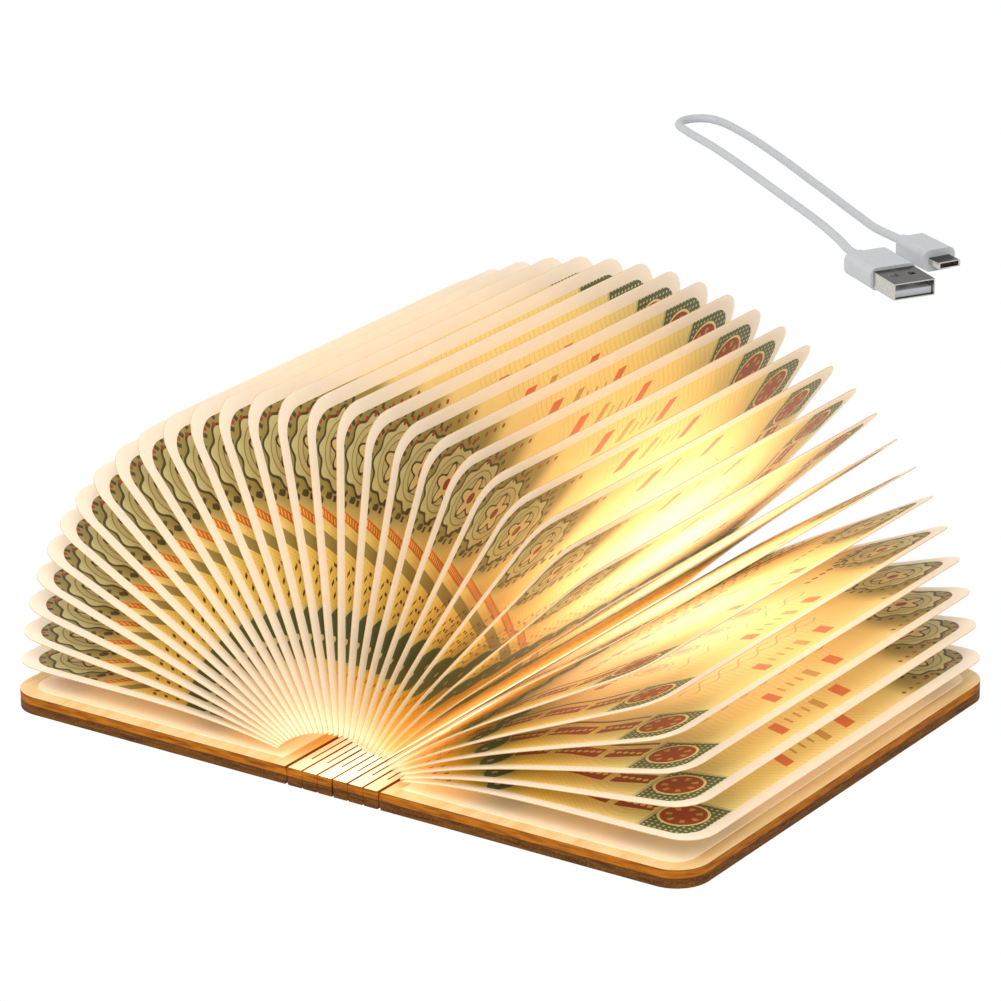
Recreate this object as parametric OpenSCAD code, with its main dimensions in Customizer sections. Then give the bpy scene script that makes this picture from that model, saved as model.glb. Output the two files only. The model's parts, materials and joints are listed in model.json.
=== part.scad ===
// Folding book lamp: two plywood covers on a living hinge, a fan of printed leaves
// round a light bar, and a loose charging lead. Millimetres, lying open on a table.
// Origin: on the table, under the middle of the spine. +X right cover, +Y along the
// spine towards the charging socket, +Z up.

/* [Covers] */
// Height of the book, along its spine
book_h = 122; // [110:1:140]
// Width of one cover, from the spine to its free edge
cover_w = 74.5; // [68:0.5:90]
// Thickness of the plywood
board_t = 4; // [3.4:0.1:4.6]
// Radius of the rounded outer corners
corner_r = 7.5; // [4:0.5:12]
// Thickness of the endpaper glued inside each cover
endpaper_t = 0.2; // [0.1:0.05:0.3]
// Bare wood left round the endpaper
endpaper_inset = 3.5; // [2:0.5:6]
// Radius of the endpaper's outer corners
endpaper_r = 5; // [2:0.5:8]
// Diameter of the magnets that hold the covers together
magnet_d = 5; // [3:0.5:8]
// Thickness of a magnet
magnet_t = 1.5; // [1:0.1:2.5]
// Distance from a magnet's centre to the cover's edges
magnet_inset = 12; // [10:0.5:16]

/* [Spine] */
// Width of the living hinge between the covers
spine_w = 23; // [22:0.5:28]
// Gap between neighbouring slats at a fold line, at mid thickness
fold_gap = 0.12; // [0.1:0.02:0.3]
// Width of the cut between the two middle slats
centre_kerf = 0.45; // [0.3:0.05:0.7]
// Width of the short cuts along the middle of each slat
slot_w = 0.4; // [0.3:0.05:0.6]
// Uncut wood at each end of a slat
slot_end = 6; // [4:0.5:12]
// Uncut bridge between two short cuts
slot_bridge = 4; // [2:0.5:8]

/* [Leaves] */
// Length of a leaf, outwards from its root
leaf_l = 71.2; // [64:0.2:72]
// Thickness of a leaf
leaf_t = 0.2; // [0.1:0.02:0.24]
// Thickness of the fold along a leaf's root, where it is glued to the next leaf
hem_t = 0.3; // [0.2:0.02:0.32]
// Length of that fold, outwards from the root
hem_l = 2; // [1:0.5:4]
// Distance from the covers' ends to the leaves' ends
leaf_inset = 2.5; // [1:0.5:6]
// Radius of a leaf's outer corners
leaf_r = 6.5; // [3:0.5:10]
// Distance from an outermost leaf's turning line to its root
root_r = 6; // [5.6:0.1:7]
// How much further out the middle leaves start
root_rise = 3.2; // [3:0.1:4]
// Distance from an outermost leaf's turning line to its plane
leaf_offset = 2.8; // [2.6:0.1:3.4]
// Height of the leaves' turning lines below the covers' inner faces
turn_drop = 0.8; // [0.4:0.1:1]

/* [Light bar] */
// Width of the light bar
bar_w = 10.4; // [9.6:0.1:10.6]
// Width of the foot that is glued to the two middle slats
bar_foot_w = 5.2; // [4:0.1:5.6]
// Distance from the back end of the spine to the bar's end cap, with the socket
bar_inset = 5; // [4:0.5:10]
// Distance from the front end of the spine to the bar's other end cap
bar_front = 16; // [10:0.5:18]
// Height of the tray's sides above the spine
tray_h = 5; // [4.8:0.1:5.2]
// Thickness of the tray's floor
tray_floor = 2; // [1.8:0.1:2.2]
// Thickness of the tray's walls
tray_wall = 1; // [0.8:0.1:1.2]
// Height of the diffuser's dome
dome_h = 2.7; // [2.4:0.1:2.9]
// Thickness of the diffuser
dome_wall = 0.6; // [0.5:0.05:0.8]
// Thickness of each end cap
cap_t = 1.2; // [0.8:0.1:2]
// Distance from each end cap to the board with the light chips
led_end_room = 8; // [7:0.5:14]
// Thickness of the board with the light chips
led_board_t = 0.8; // [0.6:0.1:1]
// Number of light chips
led_count = 12; // [6:1:16]
// Length of a light chip, along the bar
led_l = 3.5; // [2:0.1:4]
// Width of a light chip
led_w = 2.8; // [2:0.1:4]
// Height of a light chip
led_h = 0.7; // [0.5:0.1:1]
// Length of the flat battery
battery_l = 50; // [36:1:52]
// Width of the battery
battery_w = 7.8; // [6:0.2:8]
// Thickness of the battery
battery_t = 1.9; // [1.2:0.1:1.9]

/* [Charging] */
// Length of the charging board
charge_board_l = 34; // [28:1:36]
// Width of the charging board
charge_board_w = 7.4; // [6:0.2:8]
// Thickness of the charging board
charge_board_t = 0.8; // [0.6:0.1:1]
// Width of the charging socket
socket_w = 7.4; // [7.2:0.1:7.8]
// Height of the charging socket
socket_h = 2.6; // [2.4:0.1:2.8]
// Length of the charging socket
socket_l = 5.6; // [5:0.1:6.4]
// Diameter of the charging cord
cord_d = 2.4; // [2:0.1:3]
// Width of the large plug's grip
grip_a_w = 13.6; // [13:0.2:17]
// Height of the large plug's grip
grip_a_h = 6.2; // [6:0.2:10]
// Length of the large plug's grip, without its boot
grip_a_l = 15; // [12:0.5:24]
// Length of the large plug's shell outside the grip
shell_a_l = 12; // [11:0.5:19]
// Width of the small plug's grip
grip_b_w = 9.8; // [9:0.2:13]
// Height of the small plug's grip
grip_b_h = 6; // [6:0.2:9]
// Length of the small plug's grip, without its boot
grip_b_l = 14; // [12:0.5:20]
// Length of the boot on each plug
boot_l = 4.5; // [4:0.5:10]

/* [Hidden] */
$fn = 48;
leaf_count = 34;
slat_count = 6;
fold_step = 30;
eps = 0.01;

function two_digits(k) = str(k < 10 ? "0" : "", k);

// Spine: the fold lines lie half way through the wood, one pitch apart.
pitch = spine_w / slat_count;
fold_z = board_t / 2;
bevel = fold_z * tan(fold_step / 2);
closed_half = pitch * (1 + cos(fold_step) + cos(2 * fold_step)) - fold_z;
slots_per_slat = 4;
slot_l = (book_h - 2 * slot_end - (slots_per_slat - 1) * slot_bridge) / slots_per_slat;

// Leaves: leaf k turns about a line along Y. In the closed book the leaves stand
// side by side across stack_half each way.
endpaper_room = 0.37;
stack_half = closed_half - endpaper_t - endpaper_room;
turn_z = board_t - turn_drop;
leaf_h = book_h - 2 * leaf_inset;
function share(k) = 2 * k / (leaf_count + 1) - 1;
function turn_x(k) = (stack_half + leaf_offset) * share(k);
function plane_offset(k) = leaf_offset * share(k);
function root(k) = root_r + root_rise * sqrt(1 - share(k) ^ 2);
// The fan's equal steps, and how the paper settles away from them.
function even_angle(k) = 180 * (1 - k / (leaf_count + 1));
function settle(a) = -2.3 * sin(a) + 1.1 * sin(2 * a) + 1.3 * sin(3 * a) - 2.5 * cos(a);
function leaf_angle(k) = even_angle(k) + settle(even_angle(k));

// Light bar: a tray on the middle slats, filled from its floor up, under a dome.
bar_l = book_h - bar_inset - bar_front;
bar_y = (bar_front - bar_inset) / 2;
bar_half = bar_w / 2;
foot_half = bar_foot_w / 2;
foot_h = 0.15;
flare_h = 1.95;
floor_z = board_t + tray_floor;
rim_z = board_t + tray_h;
led_z = rim_z - led_board_t;
led_board_l = bar_l - 2 * led_end_room;
led_board_w = bar_w - 2 * dome_wall - 0.1;
led_pitch = (led_board_l - 2 * led_l) / (led_count - 1);
battery_end_room = 3;
board_top_z = floor_z + charge_board_t;
charge_board_end = bar_l / 2;
socket_y = bar_l / 2 + cap_t - socket_l;
socket_r = 0.8;
socket_wall = 0.3;
socket_room = 0.1;
sensor_size = [2, 3, 0.9];
sensor_inset = 14;
chip_size = [4, 5, 1];
chip_inset = 3;
chip_pitch = 8;
magnet_room = 0.05;

// Charging lead: where each plug's boot begins, and which way the plug points.
grip_a_at = [-86, 297];
grip_a_turn = -32;
grip_b_at = [-83, 315];
grip_b_turn = -28;
grip_r = 2;
boot_r = 2.2;
shell_a = [12, 4.5];
shell_b = [6.9, 1.9];
shell_b_l = 5;
shell_wall = 0.3;
tongue_a = [11, 1.8];
tongue_gap = 0.1;
cord_z = cord_d / 2 + 0.05;
cord_sides = 8;
steps_per_span = 3;
CORD_ROUTE = [
    [-83, 315, grip_b_h / 2], [-89.5, 318.7, 2.7], [-97.5, 324.6, 1.8], [-106, 331.8, cord_z],
    [-114.5, 338.2, cord_z],
    [-124, 345.6, cord_z], [-136, 354.6, cord_z], [-148, 363.8, cord_z], [-160, 372.6, cord_z],
    [-170, 379.6, cord_z], [-178, 384.6, cord_z], [-185, 388.5, cord_z], [-191, 390.1, cord_z],
    [-195, 388.2, cord_z], [-196.8, 384.3, cord_z], [-195.6, 380.1, cord_z], [-191.6, 376.8, cord_z],
    [-185.2, 372.7, cord_z], [-176, 367.1, cord_z], [-165, 359.6, cord_z], [-153, 351, cord_z],
    [-141, 342.2, cord_z], [-129, 333.4, cord_z], [-118, 325.4, cord_z], [-108, 317.6, cord_z],
    [-99, 309.2, 1.8], [-92, 301.4, 2.8], [-86, 297, grip_a_h / 2]];

// Shared shapes

// A board's outline from the spine outwards, with its two outer corners rounded.
module outline(w, h, r) {
    translate([0, -h / 2]) square([w - r, h]);
    translate([0, r - h / 2]) square([w, h - 2 * r]);
    for (s = [-1, 1]) translate([w - r, s * (h / 2 - r)]) circle(r);
}

// A profile drawn in X and Z, run along the spine and centred on it.
module along_spine(l) {
    rotate([90, 0, 0]) linear_extrude(l, center = true) children();
}

module on_side(s) {
    mirror([s < 0 ? 1 : 0, 0, 0]) children();
}

module rounded_rect(w, h, r) {
    square([w - 2 * r, h], center = true);
    square([w, h - 2 * r], center = true);
    for (x = [-1, 1], y = [-1, 1]) translate([x * (w / 2 - r), y * (h / 2 - r)]) circle(r);
}

// A profile drawn across a plug, width along Y and height along Z, run along +X.
module along_plug(l) {
    rotate([90, 0, 90]) linear_extrude(l) children();
}

// Covers, endpapers and magnets

module magnet_spots() {
    for (y = [-1, 1])
        translate([spine_w / 2 + cover_w - magnet_inset, y * (book_h / 2 - magnet_inset),
                   board_t - magnet_t - magnet_room]) children();
}

module cover(s) {
    color("burlywood") on_side(s) difference() {
        translate([spine_w / 2 + fold_gap / 2, 0, 0])
            linear_extrude(board_t) outline(cover_w - fold_gap / 2, book_h, corner_r);
        translate([spine_w / 2 + fold_gap / 2, 0, 0]) along_spine(book_h + 2) {
            polygon([[-1, -1], [bevel * (1 + 1 / fold_z), -1], [0, fold_z], [-1, fold_z]]);
            polygon([[-1, board_t + 1], [bevel * (1 + 1 / fold_z), board_t + 1],
                     [0, fold_z], [-1, fold_z]]);
        }
        magnet_spots() cylinder(d = magnet_d + 2 * magnet_room, h = magnet_t + 1);
    }
}

module endpaper(s) {
    color("ivory") on_side(s)
        translate([spine_w / 2 + endpaper_inset, 0, board_t])
            linear_extrude(endpaper_t)
                outline(cover_w - 2 * endpaper_inset, book_h - 2 * endpaper_inset, endpaper_r);
}

module magnets(s) {
    color("silver") on_side(s) magnet_spots() cylinder(d = magnet_d, h = magnet_t);
}

// Spine: slat i of slat_count, from the left. Its sides are bevelled at a fold line,
// and the two middle slats stay parallel on either side of the centre kerf.

module slat(i) {
    left = -spine_w / 2 + (i - 1) * pitch;
    middle = slat_count / 2;
    gap_l = i == middle + 1 ? centre_kerf / 2 : fold_gap / 2;
    gap_r = i == middle ? centre_kerf / 2 : fold_gap / 2;
    bevel_l = i == middle + 1 ? 0 : bevel;
    bevel_r = i == middle ? 0 : bevel;
    a = left + gap_l;
    b = left + pitch - gap_r;
    color("peru") difference() {
        along_spine(book_h)
            polygon([[a + bevel_l, 0], [a, fold_z], [a + bevel_l, board_t],
                     [b - bevel_r, board_t], [b, fold_z], [b - bevel_r, 0]]);
        for (j = [0:slots_per_slat - 1])
            translate([left + (pitch - slot_w) / 2,
                       -book_h / 2 + slot_end + j * (slot_l + slot_bridge), -1])
                cube([slot_w, slot_l, board_t + 2]);
    }
}

// Leaves

module leaf(k) {
    color("cornsilk")
        translate([turn_x(k), 0, turn_z]) rotate([0, -leaf_angle(k), 0])
            translate([root(k), 0, plane_offset(k)]) {
                linear_extrude(leaf_t, center = true) outline(leaf_l, leaf_h, leaf_r);
                translate([hem_l / 2, 0, 0]) cube([hem_l, leaf_h, hem_t], center = true);
            }
}

// Light bar, drawn round its own middle

module on_bar() {
    translate([0, bar_y, 0]) children();
}

function dome(half, h) = [for (a = [0:15:180]) [half * cos(a), rim_z + h * sin(a)]];
foot_points = [[-bar_half, board_t + flare_h], [-foot_half, board_t + foot_h],
               [-foot_half, board_t], [foot_half, board_t],
               [foot_half, board_t + foot_h], [bar_half, board_t + flare_h]];

module bar_tray() {
    inner = bar_half - tray_wall;
    rebate = bar_half - dome_wall;
    color("gainsboro") along_spine(bar_l)
        polygon(concat(foot_points,
            [[bar_half, rim_z], [rebate, rim_z], [rebate, led_z], [inner, led_z],
             [inner, floor_z], [-inner, floor_z], [-inner, led_z], [-rebate, led_z],
             [-rebate, rim_z], [-bar_half, rim_z]]));
}

module diffuser() {
    color("moccasin") along_spine(bar_l) difference() {
        polygon(dome(bar_half, dome_h));
        polygon(concat([[bar_half - dome_wall, rim_z - 1]], dome(bar_half - dome_wall, dome_h - dome_wall),
                       [[dome_wall - bar_half, rim_z - 1]]));
    }
}

module end_caps() {
    color("gainsboro") for (s = [-1, 1]) difference() {
        translate([0, s * (bar_l + cap_t) / 2, 0]) along_spine(cap_t)
            polygon(concat(foot_points, dome(bar_half, dome_h)));
        if (s > 0) translate([0, bar_l / 2 - 1, board_top_z + socket_h / 2])
            rotate([-90, 0, 0]) linear_extrude(cap_t + 2)
                rounded_rect(socket_w + 2 * socket_room, socket_h + 2 * socket_room, socket_r);
    }
}

module led_board() {
    color("white") translate([-led_board_w / 2, -led_board_l / 2, led_z])
        cube([led_board_w, led_board_l, led_board_t]);
}

module led_chips() {
    color("gold") for (i = [0:led_count - 1])
        translate([-led_w / 2, -led_board_l / 2 + led_l / 2 + i * led_pitch, rim_z])
            cube([led_w, led_l, led_h]);
}

module battery() {
    color("silver") translate([-battery_w / 2, battery_end_room - bar_l / 2, floor_z])
        cube([battery_w, battery_l, battery_t]);
}

module charge_board() {
    color("seagreen") {
        translate([-charge_board_w / 2, charge_board_end - charge_board_l, floor_z])
            cube([charge_board_w, charge_board_l, charge_board_t]);
        for (i = [0, 1])
            translate([-chip_size[0] / 2,
                       charge_board_end - charge_board_l + chip_inset + chip_pitch * i, board_top_z])
                cube(chip_size);
    }
}

module hall_sensor() {
    color("dimgray") translate([-sensor_size[0] / 2, charge_board_end - sensor_inset, board_top_z])
        cube(sensor_size);
}

module charge_socket() {
    color("silver") translate([0, socket_y, board_top_z + socket_h / 2]) rotate([-90, 0, 0])
        difference() {
            linear_extrude(socket_l) rounded_rect(socket_w, socket_h, socket_r);
            translate([0, 0, 1]) linear_extrude(socket_l)
                rounded_rect(socket_w - 2 * socket_wall, socket_h - 2 * socket_wall, socket_r - socket_wall);
        }
}

// Charging lead

module at_plug(at, turn, h) {
    translate([at[0], at[1], h / 2]) rotate([0, 0, turn]) children();
}

module grip(w, h, l) {
    rotate([0, 90, 0]) cylinder(r1 = cord_d / 2 + 0.6, r2 = boot_r, h = boot_l);
    translate([boot_l, 0, 0]) along_plug(l) rounded_rect(w, h, grip_r);
}

module usb_a_plug() {
    color("white") at_plug(grip_a_at, grip_a_turn, grip_a_h) {
        grip(grip_a_w, grip_a_h, grip_a_l);
        translate([boot_l + grip_a_l - eps, 0, (shell_wall + tongue_gap) - shell_a[1] / 2 + tongue_a[1] / 2])
            along_plug(shell_a_l - 1) square(tongue_a, center = true);
    }
}

module usb_a_shell() {
    window = [2.4, 2];
    lock_slot = [1.4, 2.2];
    color("silver") at_plug(grip_a_at, grip_a_turn, grip_a_h)
        translate([boot_l + grip_a_l, 0, 0]) difference() {
            along_plug(shell_a_l) square(shell_a, center = true);
            translate([-1, 0, 0]) along_plug(shell_a_l + 2)
                square([shell_a[0] - 2 * shell_wall, shell_a[1] - 2 * shell_wall], center = true);
            for (y = [-1, 1]) translate([4, y * 2.6 - window[1] / 2, 0])
                cube([window[0], window[1], shell_a[1]]);
            translate([0.6, -lock_slot[1] / 2, 0]) cube([lock_slot[0], lock_slot[1], shell_a[1]]);
        }
}

module micro_plug() {
    color("white") at_plug(grip_b_at, grip_b_turn, grip_b_h) grip(grip_b_w, grip_b_h, grip_b_l);
}

module micro_shell() {
    color("silver") at_plug(grip_b_at, grip_b_turn, grip_b_h)
        translate([boot_l + grip_b_l, 0, 0]) difference() {
            along_plug(shell_b_l) rounded_rect(shell_b[0], shell_b[1], 0.5);
            translate([1, 0, 0]) along_plug(shell_b_l)
                square([shell_b[0] - 4 * shell_wall, shell_b[1] - 2 * shell_wall], center = true);
        }
}

function unit(v) = v / norm(v);
function blend(a, b, c, d, t) =
    0.5 * (2 * b + (c - a) * t + (2 * a - 5 * b + 4 * c - d) * t ^ 2 + (3 * b - a - 3 * c + d) * t ^ 3);
function smooth(p, n) = let (m = len(p) - 1) concat(
    [for (i = [0:m - 1], j = [0:n - 1])
        blend(i > 0 ? p[i - 1] : 2 * p[0] - p[1], p[i], p[i + 1],
              i < m - 1 ? p[i + 2] : 2 * p[m] - p[m - 1], j / n)],
    [p[m]]);
function heading(p, i) = unit(p[min(i + 1, len(p) - 1)] - p[max(i - 1, 0)]);
function ring(c, t, r, n) = let (side = unit(cross(t, [0, 0, 1])), up = cross(side, t))
    [for (j = [0:n - 1]) c + r * (cos(360 * (j + 0.5) / n) * side + sin(360 * (j + 0.5) / n) * up)];

module tube(p, r, n) {
    m = len(p);
    polyhedron(
        points = [for (i = [0:m - 1]) each ring(p[i], heading(p, i), r, n)],
        faces = concat(
            [[for (j = [0:n - 1]) j]],
            [[for (j = [n - 1:-1:0]) (m - 1) * n + j]],
            [for (i = [0:m - 2], j = [0:n - 1])
                [i * n + j, (i + 1) * n + j, (i + 1) * n + (j + 1) % n, i * n + (j + 1) % n]]));
}

module cable() {
    color("whitesmoke") tube(smooth(CORD_ROUTE, steps_per_span), cord_d / 2, cord_sides);
}

for (k = [1:leaf_count]) leaf(k);
for (i = [1:slat_count]) slat(i);
cover(-1);  // left_cover
cover(1);  // right_cover
endpaper(-1);  // left_endpaper
endpaper(1);  // right_endpaper
magnets(-1);  // left_magnets
magnets(1);  // right_magnets
on_bar() bar_tray();
on_bar() diffuser();
on_bar() end_caps();
on_bar() led_board();
on_bar() led_chips();
on_bar() battery();
on_bar() charge_board();
on_bar() hall_sensor();
on_bar() charge_socket();
cable();
usb_a_plug();
usb_a_shell();
micro_plug();
micro_shell();
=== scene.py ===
"""A folding book lamp, lying open and lit on a white table, with its charging lead behind it."""

import json
import logging
import math
from dataclasses import dataclass
from enum import Enum
from typing import Callable, Optional, Sequence, Union

import bpy
from bpy.types import Material, Node, NodeSocket, NodeTree, Object
from mathutils import Matrix, Vector


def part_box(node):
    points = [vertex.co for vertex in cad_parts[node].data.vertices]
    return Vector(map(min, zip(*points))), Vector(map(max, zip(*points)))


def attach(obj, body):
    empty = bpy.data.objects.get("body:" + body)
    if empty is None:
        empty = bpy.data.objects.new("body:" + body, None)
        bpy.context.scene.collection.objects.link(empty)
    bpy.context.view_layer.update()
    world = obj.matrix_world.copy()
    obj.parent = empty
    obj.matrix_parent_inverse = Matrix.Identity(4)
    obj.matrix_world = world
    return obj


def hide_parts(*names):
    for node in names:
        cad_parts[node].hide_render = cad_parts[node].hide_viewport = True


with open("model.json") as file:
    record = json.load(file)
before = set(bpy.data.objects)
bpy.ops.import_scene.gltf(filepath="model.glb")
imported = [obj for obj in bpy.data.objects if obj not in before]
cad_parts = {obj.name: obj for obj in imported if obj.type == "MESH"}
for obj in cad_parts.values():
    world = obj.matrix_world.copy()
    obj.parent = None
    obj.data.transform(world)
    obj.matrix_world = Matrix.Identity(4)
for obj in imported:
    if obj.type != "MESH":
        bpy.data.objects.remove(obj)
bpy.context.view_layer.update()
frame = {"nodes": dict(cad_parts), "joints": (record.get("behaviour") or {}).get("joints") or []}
LOG = logging.getLogger("book_lamp")
MM = 0.001

Colour = tuple[float, float, float, float]
Point = tuple[float, float]
Place = tuple[float, float, float]
Corner = Union[Vector, Place]

# The places of a mix node's sockets for colours, whose names aren't unique.
MIX_MASK, MIX_UNDER, MIX_OVER, MIX_RESULT = 0, 6, 7, 2


def tone(red: int, green: int, blue: int) -> Colour:
    """The linear colour, with an alpha of 1, of three screen values from 0 to 255."""

    def linear(level: int) -> float:
        """One channel as light."""
        part = level / 255
        return part / 12.92 if part <= 0.04045 else ((part + 0.055) / 1.055) ** 2.4

    return (linear(red), linear(green), linear(blue), 1.0)


def dimmed(colour: Colour, share: float) -> Colour:
    """A share of a colour, still with an alpha of 1."""
    return (*(share * part for part in colour[:3]), 1.0)


# Shader graphs


def math_method(operation: str, about: str, swapped: bool = False) -> Callable[..., "Wire"]:
    """A method of Wire that adds one math node.

    Args:
        operation: The math node's operation.
        about: What the result is.
        swapped: Whether the wire is the second of the two values.

    Returns:
        The method.
    """

    def method(self: "Wire", *others: "Level") -> "Wire":
        """Add the node."""
        values = (*others, self) if swapped else (self, *others)
        return self.graph.math(operation, *values)

    method.__doc__ = about
    return method


class Wire:
    """A number or a colour that comes out of a node, with arithmetic that adds math nodes."""

    def __init__(self, graph: "Graph", socket: NodeSocket) -> None:
        """Keep the socket and the graph that it belongs to."""
        self.graph = graph
        self.socket = socket

    __add__ = math_method("ADD", "The sum.")
    __radd__ = math_method("ADD", "The sum with a plain number.", swapped=True)
    __sub__ = math_method("SUBTRACT", "The difference.")
    __rsub__ = math_method("SUBTRACT", "The difference from a plain number.", swapped=True)
    __mul__ = math_method("MULTIPLY", "The product, which is also where two masks meet.")
    __or__ = math_method("MAXIMUM", "Where either of two masks is.")
    __lt__ = math_method("LESS_THAN", "A mask of where this is below the other.")
    __gt__ = math_method("GREATER_THAN", "A mask of where this is above the other.")
    __abs__ = math_method("ABSOLUTE", "The size without its sign.")
    sine = math_method("SINE", "The sine of it, in radians.")
    folded = math_method("PINGPONG", "It runs up to the given reach and back, over and over.")

    def between(self, low: float, high: float) -> "Wire":
        """A mask of where this lies between two values."""
        return (self > low) * (self < high)

    def near(self, value: "Level", reach: float) -> "Wire":
        """A mask of where this lies within reach of a value."""
        return abs(self - value) < reach


Level = Union[Wire, float]
Paint = Union[Wire, Colour]
Wires = dict[str, Wire]


class Graph:
    """Adds nodes to one shader tree and joins them."""

    def __init__(self, tree: NodeTree) -> None:
        """Work on that tree."""
        self.tree = tree

    def node(self, kind: str, **settings: object) -> Node:
        """Add a node of that type and set its properties."""
        made = self.tree.nodes.new(kind)
        for name, value in settings.items():
            setattr(made, name, value)
        return made

    def feed(self, socket: NodeSocket, value: object) -> None:
        """Join a wire to a socket, or set the socket's own value."""
        if isinstance(value, Wire):
            self.tree.links.new(value.socket, socket)
        else:
            socket.default_value = value

    def wired(
        self, kind: str, values: dict, output: Union[int, str] = 0, **settings: object
    ) -> Wire:
        """Add a node and feed its inputs.

        Args:
            kind: The node's type name.
            values: Wires and constants, by the names or places of the inputs that take them.
            output: The name or place of an output.
            **settings: Properties to set on the node.

        Returns:
            That output.
        """
        made = self.node(kind, **settings)
        for socket, value in values.items():
            self.feed(made.inputs[socket], value)
        return Wire(self, made.outputs[output])

    def math(self, operation: str, *values: Level) -> Wire:
        """Add a math node."""
        return self.wired("ShaderNodeMath", dict(enumerate(values)), operation=operation)

    def ramp(self, value: Wire, low: float, high: float) -> Wire:
        """A smooth step from 0 at low to 1 at high."""
        values = {"Value": value, "From Min": low, "From Max": high}
        return self.wired("ShaderNodeMapRange", values, "Result", interpolation_type="SMOOTHSTEP")

    def mix(self, mask: Level, under: Paint, over: Paint, way: str = "MIX") -> Wire:
        """Lay one colour over another where the mask is."""
        values = {MIX_MASK: mask, MIX_UNDER: under, MIX_OVER: over}
        kind = {"data_type": "RGBA", "blend_type": way}
        return self.wired("ShaderNodeMix", values, MIX_RESULT, **kind)

    def tint(self, colour: Paint, level: Level) -> Wire:
        """A colour times a level."""
        return self.mix(1.0, colour, self.join(level, level, level), "MULTIPLY")

    def split(self, vector: Wire) -> tuple[Wire, Wire, Wire]:
        """The three parts of a vector."""
        made = self.node("ShaderNodeSeparateXYZ")
        self.feed(made.inputs[0], vector)
        return tuple(Wire(self, out) for out in made.outputs)

    def join(self, x: Level, y: Level, z: Level) -> Wire:
        """A vector from its three parts."""
        return self.wired("ShaderNodeCombineXYZ", {0: x, 1: y, 2: z})

    def reach(self, x: Wire, y: Wire, centre: Point) -> Wire:
        """The distance of (x, y) from a centre."""
        values = {0: self.join(x, y, 0.0), 1: (*centre, 0.0)}
        return self.wired("ShaderNodeVectorMath", values, "Value", operation="DISTANCE")

    def stretch(self, vector: Wire, scale: Place) -> Wire:
        """A vector with its parts scaled."""
        return self.wired("ShaderNodeVectorMath", {0: vector, 1: scale}, operation="MULTIPLY")

    def noise(self, vector: Wire, scale: float, detail: float = 3.0, rough: float = 0.5) -> Wire:
        """Cloudy noise about 0.5."""
        values = {"Vector": vector, "Scale": scale, "Detail": detail, "Roughness": rough}
        return self.wired("ShaderNodeTexNoise", values, "Fac")

    def object_place(self) -> Wire:
        """Where a point lies on its object, in metres."""
        return self.wired("ShaderNodeTexCoord", {}, "Object")

    def facing(self) -> Wire:
        """The upward part of the surface's direction, from -1 to 1."""
        return self.split(self.wired("ShaderNodeTexCoord", {}, "Normal"))[2]

    def place(self, group: NodeTree, **values: object) -> Wires:
        """Add a node group with those input values, and return its outputs by name."""
        made = self.node("ShaderNodeGroup", node_tree=group)
        for name, value in values.items():
            self.feed(made.inputs[name], value)
        return {out.name: Wire(self, out) for out in made.outputs}


Inputs = dict[str, Union[None, float, Colour]]
GroupBody = Callable[[Graph, Wires], Wires]
# Stands for the default of a vector input, which needs none.
VECTOR = None
SOCKETS = {type(VECTOR): "NodeSocketVector", float: "NodeSocketFloat", tuple: "NodeSocketColor"}


def make_group(name: str, inputs: Inputs, body: GroupBody) -> NodeTree:
    """Build a shader node group.

    Args:
        name: The group's name.
        inputs: The default of each input, by name: a number, a colour or VECTOR.
        body: Takes the graph and the inputs by name, and returns the outputs by name, which
            are a Color and may be a Height too.

    Returns:
        The group.
    """
    tree = bpy.data.node_groups.new(name, "ShaderNodeTree")
    for label, default in inputs.items():
        kind = SOCKETS[type(default)]
        socket = tree.interface.new_socket(label, in_out="INPUT", socket_type=kind)
        if default is not VECTOR:
            socket.default_value = default
    graph = Graph(tree)
    source = graph.node("NodeGroupInput")
    made = body(graph, {label: Wire(graph, source.outputs[label]) for label in inputs})
    for label in made:
        kind = SOCKETS[tuple if label == "Color" else float]
        tree.interface.new_socket(label, in_out="OUTPUT", socket_type=kind)
    sink = graph.node("NodeGroupOutput")
    for label, wire in made.items():
        graph.feed(sink.inputs[label], wire)
    return tree


class Print(Graph):
    """A graph that keeps the paint laid down so far."""

    def __init__(self, tree: NodeTree, paint: Paint) -> None:
        """Start from a plain ground."""
        super().__init__(tree)
        self.paint = paint

    def lay(self, mask: Level, ink: Paint) -> None:
        """Lay a colour over the paint where the mask is."""
        self.paint = self.mix(mask, self.paint, ink)


BARE_CARD = tone(250, 231, 208)


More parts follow.
